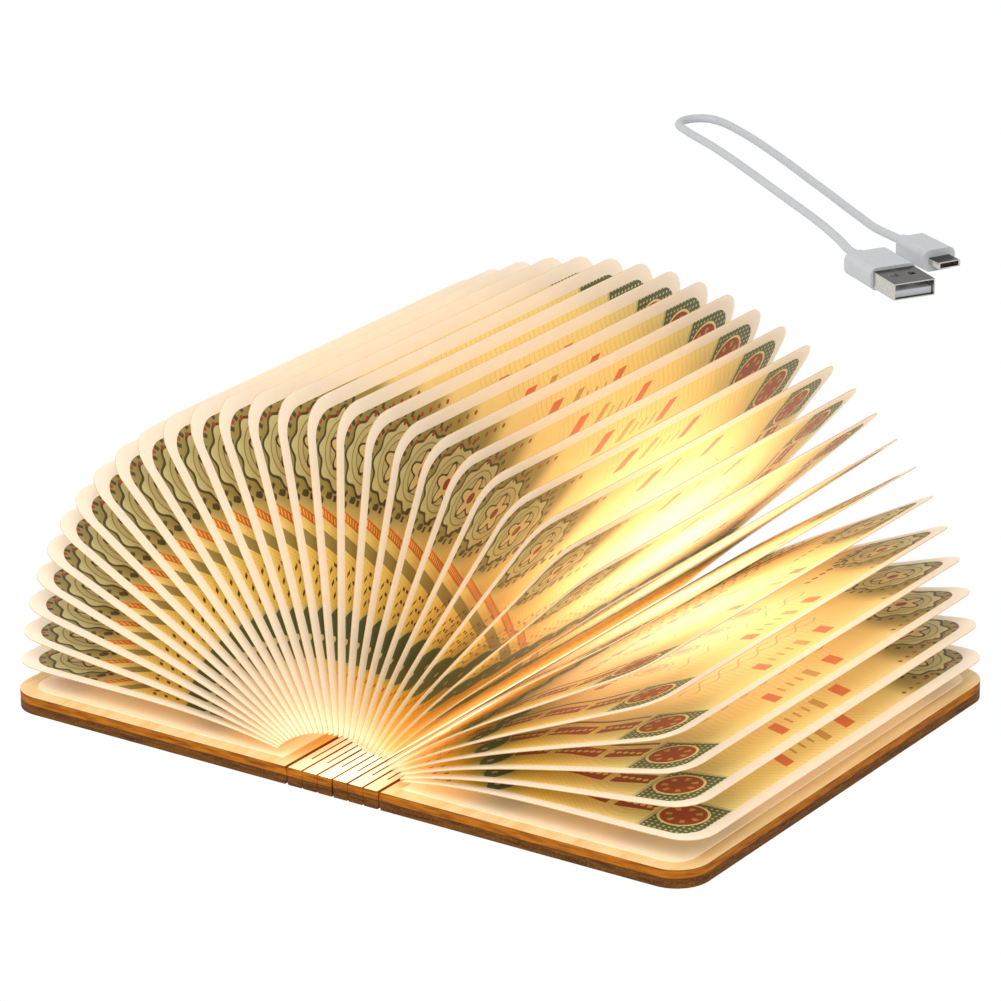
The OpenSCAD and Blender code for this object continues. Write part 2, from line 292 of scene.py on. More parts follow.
@dataclass(frozen=True)
class LeafDesign:
    """The printed design of a leaf. Lengths are millimetres: depth runs from the outer edge
    to the root, and height from the front edge to the back."""

    leaf_length: float
    leaf_height: float
    outer_margin: float = 3.2
    end_margin: float = 2.5
    corner: float = 5.5
    cream: Colour = tone(246, 220, 148)
    pale: Colour = tone(255, 232, 144)
    honey: Colour = tone(246, 212, 102)
    yellow: Colour = tone(255, 214, 56)
    olive: Colour = tone(158, 140, 76)
    dark_olive: Colour = tone(78, 70, 42)
    green: Colour = tone(86, 98, 62)
    pale_green: Colour = tone(212, 200, 138)
    orange: Colour = tone(222, 112, 40)
    rust: Colour = tone(168, 66, 34)
    brown: Colour = tone(104, 60, 34)
    tan: Colour = tone(206, 160, 78)
    grey: Colour = tone(138, 138, 116)
    olive_corner: Point = (2.0, 6.0)
    shell: Point = (34.0, 82.0)
    rosette_centre: Point = (13.0, 11.5)
    front: float = 30.0
    braid_depth: float = 17.0
    band_depth: float = 50.5
    bar_height: float = 106.0
    sun: Point = (10.4, 106.0)

    def panel(self, d: Wire, h: Wire, centre: Point, half: Point) -> Wire:
        """A mask of a rectangle, from its middle and half its depth and height."""
        return (abs(d - centre[0]) * (1 / half[0]) | abs(h - centre[1]) * (1 / half[1])) < 1.0

    def ground(self, g: Print, d: Wire, h: Wire) -> None:
        """Cream that warms to honey and yellow near the root, under dots and wavy lines."""
        g.lay(g.ramp(d, 12.0, 42.0), self.honey)
        g.lay(g.ramp(h, 36.0, 62.0) * (1.0 - g.ramp(d, 10.0, 44.0)) * 0.7, self.pale)
        g.lay(g.ramp(d, 51.0, 58.0), self.yellow)
        g.lay(1.0 - g.ramp(g.reach(d, h, self.olive_corner), 17.0, 26.0), self.olive)
        dots = ((d * 5.2).sine() * (h * 5.2).sine()) > 0.62
        g.lay(dots * d.between(28.0, 46.0) * 0.4, self.tan)
        waves = (h + (d * 0.5).sine() * 1.5).folded(0.9) < 0.13
        g.lay(waves * d.between(3.0, 27.0) * (h > 40.0) * 0.4, self.tan)
        away = g.reach(d, h, self.shell)
        g.lay((away.folded(1.0) < 0.16) * (away < 15.0), self.pale_green)

    def slant(self, g: Print, d: Wire, h: Wire) -> None:
        """A hatched orange stripe with an olive one, slanting from the front to the root."""
        across = d - h * 0.9
        front = (h < 34.0) * (d < 54.0)
        g.lay(across.between(25.2, 28.6) * front, self.olive)
        g.lay(across.between(20.0, 22.4) * front, self.orange)
        g.lay(across.between(20.5, 21.9) * front * (h.folded(0.45) < 0.14), self.honey)

    def braid(self, g: Print, d: Wire, h: Wire) -> None:
        """Crossing tan waves behind the rosette, and leaning orange bars outside them."""
        swing = (h * 0.42).sine() * 1.8
        middle = d - self.braid_depth
        strands = (abs(middle - swing) < 0.22) | (abs(middle + swing) < 0.22)
        g.lay(strands * h.between(38.0, 88.0), self.tan)
        lean = h + d * 0.5
        bars = ((52.0, 1.9, self.orange), (60.5, 1.2, self.tan), (76.0, 1.6, self.orange))
        for place, half, ink in bars:
            g.lay(lean.near(place, half) * d.between(5.6, 10.8), ink)
        small = (lean.folded(1.7) < 0.42) * lean.between(62.5, 72.0)
        g.lay(small * d.between(7.4, 10.4), self.tan)

    def dashes(self, g: Print, d: Wire, h: Wire) -> None:
        """Zigzag rows of brown and green dashes ahead of the green band."""
        zigzag = h.folded(2.4) * 0.8
        for depth, ink in ((35.5, self.brown), (38.5, self.dark_olive), (41.5, self.brown)):
            broken = (h + depth).folded(0.8) > 0.34
            g.lay((d - depth).near(zigzag, 0.42) * broken * h.between(3.0, 66.0), ink)

    def ovals(self, g: Print, d: Wire, h: Wire) -> None:
        """A row of ringed tan ovals along the middle."""
        away = g.reach((d - 25.5) * 0.8, (h - 42.0).folded(6.0), (0.0, 6.0))
        room = h.between(42.0, 90.0)
        g.lay((away.between(3.9, 4.2) | (away < 3.3)) * room, self.tan)
        g.lay(away.between(2.0, 2.4) * room, self.cream)
        g.lay((away < 1.1) * room, self.olive)

    def blocks(self, g: Print, d: Wire, h: Wire) -> None:
        """Leaning rust and grey blocks beside the ovals, and rust bars across the back."""
        row = (d - 33.5).near((h.folded(2.6) - 1.3) * 0.4, 1.3) * h.between(40.0, 92.0)
        g.lay(row * (h.folded(2.6) > 0.8), self.grey)
        g.lay(row * ((h - 2.6).folded(5.2) > 3.0), self.rust)
        wavy = h - (d * 0.3).sine() * 0.8
        back = d.between(17.0, 58.0)
        g.lay(wavy.near(self.bar_height, 2.3) * back * (d.folded(6.5) > 0.9), self.rust)
        g.lay((g.reach(d.folded(1.6), h, (0.8, self.bar_height)) < 0.6) * back, self.honey)
        g.lay(wavy.near(self.bar_height - 5.0, 0.5) * back, self.brown)

    def scallops(self, g: Print, d: Wire, h: Wire) -> None:
        """A dark-green band with scalloped sides and pale spots, in front of the root."""
        edge = abs((h * 0.3).sine()) * 2.2 - g.ramp(h, 20.0, 50.0) * 2.6
        off = abs(d - self.band_depth) - edge
        g.lay(off < 4.1, self.pale_green)
        g.lay(off < 3.5, self.green)
        g.lay(g.reach(d, h.folded(5.2), (self.band_depth + 0.5, 2.6)) < 0.7, self.cream)
        tufts = abs(d - self.band_depth - 8.0) + abs((h - 1.0).folded(1.5) - 0.75)
        g.lay((tufts < 0.6) * (h < 60.0), self.orange)

    def rosette(self, g: Print, d: Wire, h: Wire) -> None:
        """A petalled ring inside fine arcs on the olive of the front outer corner."""
        centre = self.rosette_centre
        away = g.reach(d, h, centre)
        turn = g.math("ARCTAN2", h - centre[1], d - centre[0])
        petals = away - (turn * 9.0).sine() * 0.6
        g.lay(petals.between(8.0, 8.7), self.dark_olive)
        g.lay(petals < 8.0, self.pale_green)
        g.lay((away.folded(0.8) < 0.16) * away.between(4.6, 7.2), self.olive)
        star = away - (turn * 5.0).sine() * 1.1
        g.lay(star.between(3.4, 4.1), self.dark_olive)
        g.lay(star < 3.4, self.cream)
        g.lay(away < 1.3, self.rust)
        g.lay(((turn * 24.0).sine() > 0.4) * away.between(9.6, 10.9), self.dark_olive)
        leaves = g.reach(d, (h - 1.0).folded(3.0), (21.0, 1.5)) < 0.8
        g.lay(leaves * (h < self.front), self.dark_olive)
        berries = g.reach(d, h.folded(3.0), (4.9, 1.5)) < 0.55
        g.lay(berries * (h < self.front), self.rust)

    def sunburst(self, g: Print, d: Wire, h: Wire) -> None:
        """A green panel with rows of dots and a rayed red disc, in the back outer corner."""
        g.lay(self.panel(d, h, (9.0, 106.6), (7.4, 7.8)), self.pale_green)
        inside = self.panel(d, h, (8.6, 107.0), (7.0, 7.4))
        g.lay(inside, self.green)
        spots = g.reach(d.folded(1.3), h.folded(1.3), (0.65, 0.65)) < 0.3
        g.lay(inside * spots, self.pale_green)
        away = g.reach(d, h, self.sun)
        g.lay((away < 5.4) * inside, self.cream)
        g.lay((away < 4.8) * inside, self.rust)
        rays = (g.math("ARCTAN2", h - self.sun[1], d - self.sun[0]) * 7.0).sine() > 0.4
        g.lay(away.between(2.4, 3.8) * rays * inside, self.tan)

    def diamonds(self, g: Print, d: Wire, h: Wire) -> None:
        """Small red diamonds on the yellow beside the root."""
        away = abs((d - 60.0).folded(3.0) - 1.5) + abs(h.folded(4.0) - 2.0)
        g.lay((away < 0.7) * d.between(61.0, 67.0) * (h > self.front), self.rust)

    def inked(self, g: Graph, d: Wire, h: Wire) -> Wire:
        """The mask of the printed field, whose outer corners are round."""
        half = self.leaf_height / 2 - self.end_margin
        across = g.math("MAXIMUM", self.outer_margin + self.corner - d, 0.0)
        along = g.math("MAXIMUM", abs(h - self.leaf_height / 2) - (half - self.corner), 0.0)
        return g.reach(across, along, (0.0, 0.0)) < self.corner

    def build(self) -> NodeTree:
        """The node group of the print, which takes a place on the leaf and gives its colour."""

        def body(g: Graph, given: Wires) -> Wires:
            """Lay the design over the bare card."""
            out, height, _ = g.split(given["Place"])
            depth = self.leaf_length - out
            page = Print(g.tree, self.cream)
            layers = (self.ground, self.slant, self.braid, self.dashes, self.ovals, self.blocks)
            layers += (self.scallops, self.rosette, self.sunburst, self.diamonds)
            for layer in layers:
                layer(page, depth, height)
            return {"Color": g.mix(self.inked(g, depth, height), given["Card"], page.paint)}

        return make_group("LeafPrint", {"Place": VECTOR, "Card": BARE_CARD}, body)


def paper_fibre_group() -> NodeTree:
    """Fine mottling of paper or card, as a colour and a bump height."""

    def body(g: Graph, given: Wires) -> Wires:
        """Two scales of noise."""
        cloud = g.noise(given["Place"], 260.0, 4.0)
        fine = g.noise(given["Place"], 2400.0, 2.0)
        amount = given["Amount"]
        shade = 1.0 - ((cloud - 0.5) * 0.5 + (fine - 0.5) * 0.5) * amount
        return {"Color": g.tint(given["Color"], shade), "Height": fine}

    return make_group("PaperFibre", {"Place": VECTOR, "Color": BARE_CARD, "Amount": 0.1}, body)


def glow_group() -> NodeTree:
    """Lamplight on what lies round the light bar: white beside it and warm further out."""

    def body(g: Graph, given: Wires) -> Wires:
        """White light, then a wider warm veil, then a little light through the whole sheet."""
        share = g.math("DIVIDE", given["Distance"], given["Reach"])
        near = g.math("EXPONENT", share * share * -1.0) * given["Power"]
        far = g.math("EXPONENT", share * -0.7) * given["Veil"]
        white = g.tint(given["White Light"], near)
        warm = g.tint(given["Warm Light"], far)
        through = g.tint(given["Color"], given["Through"])
        return {"Color": g.mix(1.0, g.mix(1.0, white, warm, "ADD"), through, "ADD")}

    inputs = {
        "Distance": 0.0,
        "Reach": 20.0,
        "Power": 1.0,
        "Veil": 0.3,
        "Through": 0.0,
        "Color": (1.0, 1.0, 1.0, 1.0),
        "White Light": tone(255, 240, 230),
        "Warm Light": tone(255, 216, 108),
    }
    return make_group("LampGlow", inputs, body)


def wood_grain_group() -> NodeTree:
    """Long fibres of a wood veneer that run along the book's height."""

    def body(g: Graph, given: Wires) -> Wires:
        """Stretched noise for the streaks and for the pores."""
        streak = g.noise(g.stretch(given["Place"], (420.0, 26.0, 420.0)), 1.0, 5.0, 0.6)
        pore = g.noise(g.stretch(given["Place"], (2600.0, 150.0, 2600.0)), 1.0, 2.0)
        paint = g.mix(g.ramp(streak, 0.3, 0.72), given["Light"], given["Dark"])
        pores = g.ramp(pore, 0.62, 0.74)
        paint = g.mix(pores * 0.35, paint, given["Dark"])
        return {"Color": paint, "Height": streak * 0.7 - pores * 0.3}

    inputs = {"Place": VECTOR, "Light": tone(248, 218, 166), "Dark": tone(233, 195, 132)}
    return make_group("WoodGrain", inputs, body)


def burnt_edge_group(board: float) -> NodeTree:
    """The cut edge of plywood of that thickness, in metres, burnt by the laser: two plies and
    the dark glue line between them."""

    def body(g: Graph, given: Wires) -> Wires:
        """Colour by the height in the board, with scorch and speckle."""
        _, _, z = g.split(given["Place"])
        wander = (g.noise(given["Place"], 90.0) - 0.5) * 0.08
        level = z * (1.0 / board) + wander
        grain = g.noise(g.stretch(given["Place"], (160.0, 160.0, 1500.0)), 1.0, 4.0, 0.65)
        speck = g.noise(given["Place"], 2100.0, 2.0, 0.7)
        streaks = g.ramp(grain, 0.35, 0.7)
        top = g.mix(streaks, tone(182, 108, 8), tone(128, 66, 2))
        low = g.mix(streaks, tone(112, 68, 10), tone(68, 36, 3))
        low = g.mix(g.ramp(speck, 0.55, 0.7) * 0.6, low, tone(152, 100, 34))
        paint = g.mix(g.ramp(level, 0.46, 0.52), low, top)
        paint = g.mix(level.near(0.49, 0.035) * 0.75, paint, tone(74, 38, 10))
        rim = g.ramp(level, 0.93, 1.0) | (1.0 - g.ramp(level, 0.0, 0.07))
        return {"Color": g.mix(rim * 0.45, paint, tone(92, 50, 16)), "Height": grain}

    return make_group("BurntEdge", {"Place": VECTOR}, body)


# Finishes


@dataclass
class Groups:
    """The node groups that the finishes share."""

    design: NodeTree
    fibre: NodeTree
    glow: NodeTree
    grain: NodeTree
    burnt: NodeTree


class Finish(Graph):
    """The graph of a material that holds one Principled shader."""

    def __init__(self, name: str) -> None:
        """Start a material of that name."""
        self.material = bpy.data.materials.new(name)
        self.material.use_nodes = True
        super().__init__(self.material.node_tree)
        self.shader = self.tree.nodes["Principled BSDF"]

    def set(self, socket: str, value: object) -> None:
        """Feed one of the shader's sockets."""
        self.feed(self.shader.inputs[socket], value)

    def glow(self, light: Paint, strength: float = 1.0) -> None:
        """Let the surface give off light."""
        self.set("Emission Color", light)
        self.set("Emission Strength", strength)

    def bump(self, height: Wire, distance: float, strength: float) -> None:
        """Let a height raise the surface, by that many metres at most."""
        values = {"Distance": distance, "Strength": strength, "Height": height}
        self.set("Normal", self.wired("ShaderNodeBump", values, "Normal"))

    def lit_paper(self, paper: Wires, light: Paint, roughness: float) -> Material:
        """Finish a sheet from its colour and its height, and from the light on it."""
        self.set("Base Color", paper["Color"])
        self.glow(light)
        self.set("Roughness", roughness)
        self.bump(paper["Height"], 0.02 * MM, 0.2)
        return self.material


# The range of cloudy noise from its lightest to its darkest.
CLOUDS: Point = (0.3, 0.8)


@dataclass(frozen=True)
class PrintedLeaf:
    """Card printed on both faces, lit from its root by the lamp."""

    groups: Groups
    card: Colour = tone(252, 235, 212)
    # The cut edges' colour: the card's own edge, darkened to tan as painted shade that parts
    # neighbouring leaves.
    rim: Colour = tone(206, 160, 104)
    roughness: float = 0.6
    mottling: float = 0.14
    root_reach: float = 6.0
    root_power: float = 0.1
    root_veil: float = 0.18
    # A painted pool of lamplight on the faces of the leaves that the beam reaches, away from the
    # root.
    glow_spot_place: Point = (46.0, 64.0)
    glow_spot_reach: Point = (19.0, 31.0)
    glow_spot_power: float = 0.82
    glow_spot_veil: float = 0.2
    # Painted light through the paper, rising over this span of distance from the root.
    through_light_span: Point = (12.0, 40.0)
    through: float = 0.06

    def make(self) -> Material:
        """Build the material. It reads the leaf's own places, in millimetres, from the UV map."""
        g = Finish("PrintedLeaf")
        place = g.wired("ShaderNodeUVMap", {}, "UV", uv_map=LeafFan.UV_NAME)
        out, height, _ = g.split(place)
        # Cut edges take the tan rim colour: partly the card's edge, partly painted shade between
        # the leaves.
        bare = g.mix(height < LeafFan.RIM / 2, self.card, self.rim)
        ink = g.place(self.groups.design, Place=place, Card=bare)
        paper = g.place(
            self.groups.fibre, Place=g.object_place(), Color=ink["Color"], Amount=self.mottling
        )
        colour = paper["Color"]
        beam = g.wired("ShaderNodeAttribute", {}, "Fac", attribute_name=LeafFan.BEAM_NAME)
        across = (out - self.glow_spot_place[0]) * (1 / self.glow_spot_reach[0])
        along = (height - self.glow_spot_place[1]) * (1 / self.glow_spot_reach[1])
        spot = g.place(
            self.groups.glow,
            Distance=g.reach(across, along, (0.0, 0.0)),
            Reach=1.0,
            Power=beam * self.glow_spot_power,
            Veil=beam * self.glow_spot_veil,
            Through=g.ramp(out, *self.through_light_span) * self.through,
            Color=colour,
        )
        root = g.place(
            self.groups.glow,
            Distance=out,
            Reach=self.root_reach,
            Power=self.root_power,
            Veil=self.root_veil,
            Color=colour,
        )
        return g.lit_paper(paper, g.mix(1.0, spot["Color"], root["Color"], "ADD"), self.roughness)


@dataclass(frozen=True)
class Endpaper:
    """Plain cream card glued inside a cover, lit along the spine."""

    groups: Groups
    card: Colour = tone(252, 230, 198)
    roughness: float = 0.65
    mottling: float = 0.12
    glow_reach: float = 12.0
    power: float = 0.6
    veil: float = 0.12
    through: float = 0.1

    def make(self) -> Material:
        """Build the material. The glow fades with the distance from the middle of the spine."""
        g = Finish("Endpaper")
        place = g.object_place()
        paper = g.place(self.groups.fibre, Place=place, Color=self.card, Amount=self.mottling)
        x, _, _ = g.split(place)
        glow = g.place(
            self.groups.glow,
            Distance=abs(x) * (1 / MM),
            Reach=self.glow_reach,
            Power=self.power,
            Veil=self.veil,
            Through=self.through,
            Color=paper["Color"],
        )
        return g.lit_paper(paper, glow["Color"], self.roughness)


@dataclass(frozen=True)
class Plywood:
    """Laser-cut plywood: pale veneer on the faces, burnt plies on every cut."""

    groups: Groups
    name: str = "Plywood"
    glow_reach: float = 14.0
    power: float = 0.0
    roughness: float = 0.72
    polish: float = 0.17
    level: float = 0.8
    inner_face: float = 3.9 * MM

    def make(self) -> Material:
        """Build the material. Faces that look up or down are veneer, and the rest is cut edge."""
        g = Finish(self.name)
        place = g.object_place()
        x, _, z = g.split(place)
        facing = g.facing()
        veneer = g.place(self.groups.grain, Place=place)
        edge = g.place(self.groups.burnt, Place=place)
        flat = abs(facing) > self.level
        colour = g.mix(flat, edge["Color"], veneer["Color"])
        g.set("Base Color", colour)
        g.set("Roughness", self.roughness - flat * self.polish)
        g.set("Specular IOR Level", 0.2)
        if self.power:
            glow = g.place(
                self.groups.glow,
                Distance=abs(x) * (1 / MM),
                Reach=self.glow_reach,
                Power=self.power,
                Color=colour,
            )
            top = (facing > self.level) * (z > self.inner_face)
            g.glow(g.mix(top, (0.0, 0.0, 0.0, 1.0), glow["Color"]))
        g.bump(g.mix(flat, edge["Height"], veneer["Height"]), 0.06 * MM, 0.5)
        return g.material


@dataclass(frozen=True)
class Plastic:
    """Moulded plastic with a faint, even grain."""

    name: str
    colour: Colour
    roughness: float = 0.45
    coat: float = 0.0

    def make(self) -> Material:
        """Build the material."""
        g = Finish(self.name)
        fine = g.noise(g.object_place(), 500.0, 2.0)
        g.set("Base Color", g.mix(g.ramp(fine, *CLOUDS), self.colour, dimmed(self.colour, 0.95)))
        g.set("Roughness", self.roughness + (fine - 0.5) * 0.08)
        g.set("Coat Weight", self.coat)
        return g.material


@dataclass(frozen=True)
class Metal:
    """Drawn metal with fine lines, duller on the faces that look up."""

    name: str
    colour: Colour
    roughness: float
    # The colour of the faces that look up: a painted dark reflection.
    top: Optional[Colour] = None

    def make(self) -> Material:
        """Build the material."""
        g = Finish(self.name)
        lines = g.noise(g.stretch(g.object_place(), (900.0, 2600.0, 900.0)), 1.0, 3.0)
        # Painted reflection: faces that look up shade over to the dark top colour.
        paint = g.mix(g.ramp(g.facing(), 0.5, 0.9), self.colour, self.top or self.colour)
        g.set("Base Color", g.mix(g.ramp(lines, *CLOUDS), paint, g.tint(paint, 0.8)))
        g.set("Roughness", self.roughness + (lines - 0.5) * 0.15)
        g.set("Metallic", 1.0)
        g.bump(lines, 0.01 * MM, 0.25)
        return g.material


@dataclass(frozen=True)
class Lit:
    """A surface that gives off the lamp's light."""

    name: str
    colour: Colour
    light: Colour
    strength: float

    def make(self) -> Material:
        """Build the material, a little uneven as light through moulded plastic is."""
        g = Finish(self.name)
        cloud = g.noise(g.object_place(), 150.0, 2.0)
        g.set("Base Color", self.colour)
        g.glow(g.mix(g.ramp(cloud, *CLOUDS), self.light, dimmed(self.light, 0.9)), self.strength)
        g.set("Roughness", 0.5)
        return g.material


# Meshes


class MeshBuilder:
    """Collects faces and turns them into an object."""

    # Points are one point where they are closer than this.
    SAME = 1e-8

    def __init__(self) -> None:
        """Start empty."""
        self.points: list[Vector] = []
        self.faces: list[list[int]] = []
        self.places: list[list[Point]] = []
        self.known: dict[tuple[int, int, int], int] = {}

    def point(self, at: Vector) -> int:
        """The index of a point, shared by every face that touches it."""
        key = tuple(round(part / self.SAME) for part in at)
        if key not in self.known:
            self.known[key] = len(self.points)
            self.points.append(Vector(at))
        return self.known[key]

    def face(self, corners: Sequence[Corner], places: Sequence[Point] = ()) -> None:
        """Add a face from its corners, in order, with a UV place for each if there are any."""
        self.faces.append([self.point(Vector(corner)) for corner in corners])
        self.places.append(list(places))

    def build(self, name: str, material: Material, uv_name: str = "") -> Object:
        """Make the object.

        Args:
            name: The piece's name.
            material: Its material.
            uv_name: The UV map's name, or nothing for no map.

        Returns:
            The object, in the scene.
        """
        mesh = bpy.data.meshes.new(name)
        mesh.from_pydata([tuple(p) for p in self.points], [], self.faces)
        if uv_name:
            layer = mesh.uv_layers.new(name=uv_name)
            spots = [spot for places in self.places for spot in places]
            for loop, spot in zip(layer.data, spots):
                loop.uv = spot
        mesh.validate()
        mesh.materials.append(material)
        made = bpy.data.objects.new(name, mesh)
        bpy.context.scene.collection.objects.link(made)
        return made


def finish_piece(piece: Object, body: str, slot: str, *nodes: str) -> None:
    """Tie a new piece to its CAD body, its record slot and the CAD nodes that it stands for."""
    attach(piece, body)
    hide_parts(*nodes)
    LOG.info("%s rides on %s for %s", piece.name, body, ", ".join(nodes))


def dress(node: str, material: Material) -> None:
    """Give a CAD node its material."""
    mesh = frame["nodes"][node].data
    mesh.materials.clear()
    mesh.materials.append(material)
    LOG.info("%s is dressed in %s", node, material.name)


# Sub-assemblies


class Side(Enum):
    """The two sides of the book, as the sign of X."""

    LEFT = -1
    RIGHT = 1

    @property
    def word(self) -> str:
        """The side's name in node names."""
        return self.name.lower()


@dataclass
class View:
    """The camera of the photograph, as fitted to the covers and the leaves."""

    place: Place = (0.569385, -0.830122, 0.427059)
    azimuth: float = 34.42
    elevation: float = 20.76
    roll: float = -0.56
    lens: float = 183.737
    sensor: float = 36.0

    def make(self) -> None:
        """Build the camera and make it the scene's."""
        data = bpy.data.cameras.new("Camera")
        data.lens = self.lens
        data.sensor_width = self.sensor
        data.clip_start, data.clip_end = 0.05, 20.0
        camera = bpy.data.objects.new("Camera", data)
        turn, rise, tilt = (math.radians(a) for a in (self.azimuth, self.elevation, self.roll))
        ahead = Vector(
            (-math.sin(turn) * math.cos(rise), math.cos(turn) * math.cos(rise), -math.sin(rise))
        )
        level = ahead.cross(Vector((0, 0, 1))).normalized()
        above = level.cross(ahead)
        right = math.cos(tilt) * level + math.sin(tilt) * above
        up = -math.sin(tilt) * level + math.cos(tilt) * above
        turned = Matrix((right, up, -ahead)).transposed().to_4x4()
        camera.matrix_world = Matrix.Translation(Vector(self.place)) @ turned
        bpy.context.scene.collection.objects.link(camera)
        bpy.context.scene.camera = camera


@dataclass
class ChargingLead:
    """The loose lead: its cord and the two plugs, which are CAD nodes."""

    ON_TABLE = (
        (-106, 331.8), (-114.5, 338.2), (-124, 345.6), (-136, 354.6), (-148, 363.8),
        (-160, 372.6), (-170, 379.6), (-178, 384.6), (-185, 388.5), (-191, 390.1),
        (-195, 388.2), (-196.8, 384.3), (-195.6, 380.1), (-191.6, 376.8), (-185.2, 372.7),
        (-176, 367.1), (-165, 359.6), (-153, 351), (-141, 342.2), (-129, 333.4),
        (-118, 325.4), (-108, 317.6),
    )

    diameter: float = 2.4 * MM
    steps: int = 3
    lying: float = 1.25
    small_exit: Place = (-83, 315, 3)
    large_exit: Place = (-86, 297, 3.1)

    def route(self) -> list[Vector]:
        """The points that the cord's middle passes, in metres, from the small plug."""
        points = [self.small_exit, (-89.5, 318.7, 2.7), (-97.5, 324.6, 1.8)]
        points += [(x, y, self.lying) for x, y in self.ON_TABLE]
        points += [(-99, 309.2, 1.8), (-92, 301.4, 2.8), self.large_exit]
        return [Vector(point) * MM for point in points]

    def smooth(self, points: list[Vector]) -> list[Vector]:
        """A smooth run through the points, with some more between each two."""
        first, last = 2 * points[0] - points[1], 2 * points[-1] - points[-2]
        padded = [first, *points, last]
        run = []
        for i in range(len(points) - 1):
            a, b, c, d = padded[i : i + 4]
            for j in range(self.steps):
                t = j / self.steps
                start = 2 * b + (c - a) * t
                bow = (2 * a - 5 * b + 4 * c - d) * t**2 + (3 * b - a - 3 * c + d) * t**3
                run.append(0.5 * (start + bow))
        return [*run, points[-1]]

    def build(self) -> None:
        """Make the cord and declare it with its plugs, and dress the plugs."""
        white = Plastic("LeadPlastic", tone(188, 190, 193), 0.42).make()
        # The shells' dark top colour is a painted reflection on the faces that look up.
        metal = Metal("PlugMetal", tone(206, 202, 194), 0.2, tone(50, 48, 42)).make()
        run = self.smooth(self.route())
        curve = bpy.data.curves.new("charging_cord", "CURVE")
        curve.dimensions = "3D"
        curve.bevel_depth = self.diameter / 2
        curve.bevel_resolution = 3
        curve.use_fill_caps = True
        spline = curve.splines.new("POLY")
        spline.points.add(len(run) - 1)
        for spot, at in zip(spline.points, run):
            spot.co = (*at, 1.0)
        spline.use_smooth = True
        curve.materials.append(white)
        cord = bpy.data.objects.new("charging_cord", curve)
        bpy.context.scene.collection.objects.link(cord)
        finish_piece(cord, "spine_centre", "lead_plastic", "cable")
        plugs = ("usb_a_plug", "usb_a_shell", "micro_plug", "micro_shell")
        for name in plugs:
            dress(name, metal if name.endswith("shell") else white)


@dataclass(frozen=True)
class Station:
    """A cross-section of a leaf: its distance out from the root, half its height, its middle,
    and the step from there to the leaf's face."""

    out: float
    half: float
    middle: Vector
    step: Vector

    def corner(self, side: int, end: int) -> Vector:
        """A corner, on one face of the leaf and at one of its ends."""
        return self.middle + self.step * side + Vector((0, self.half * end, 0))


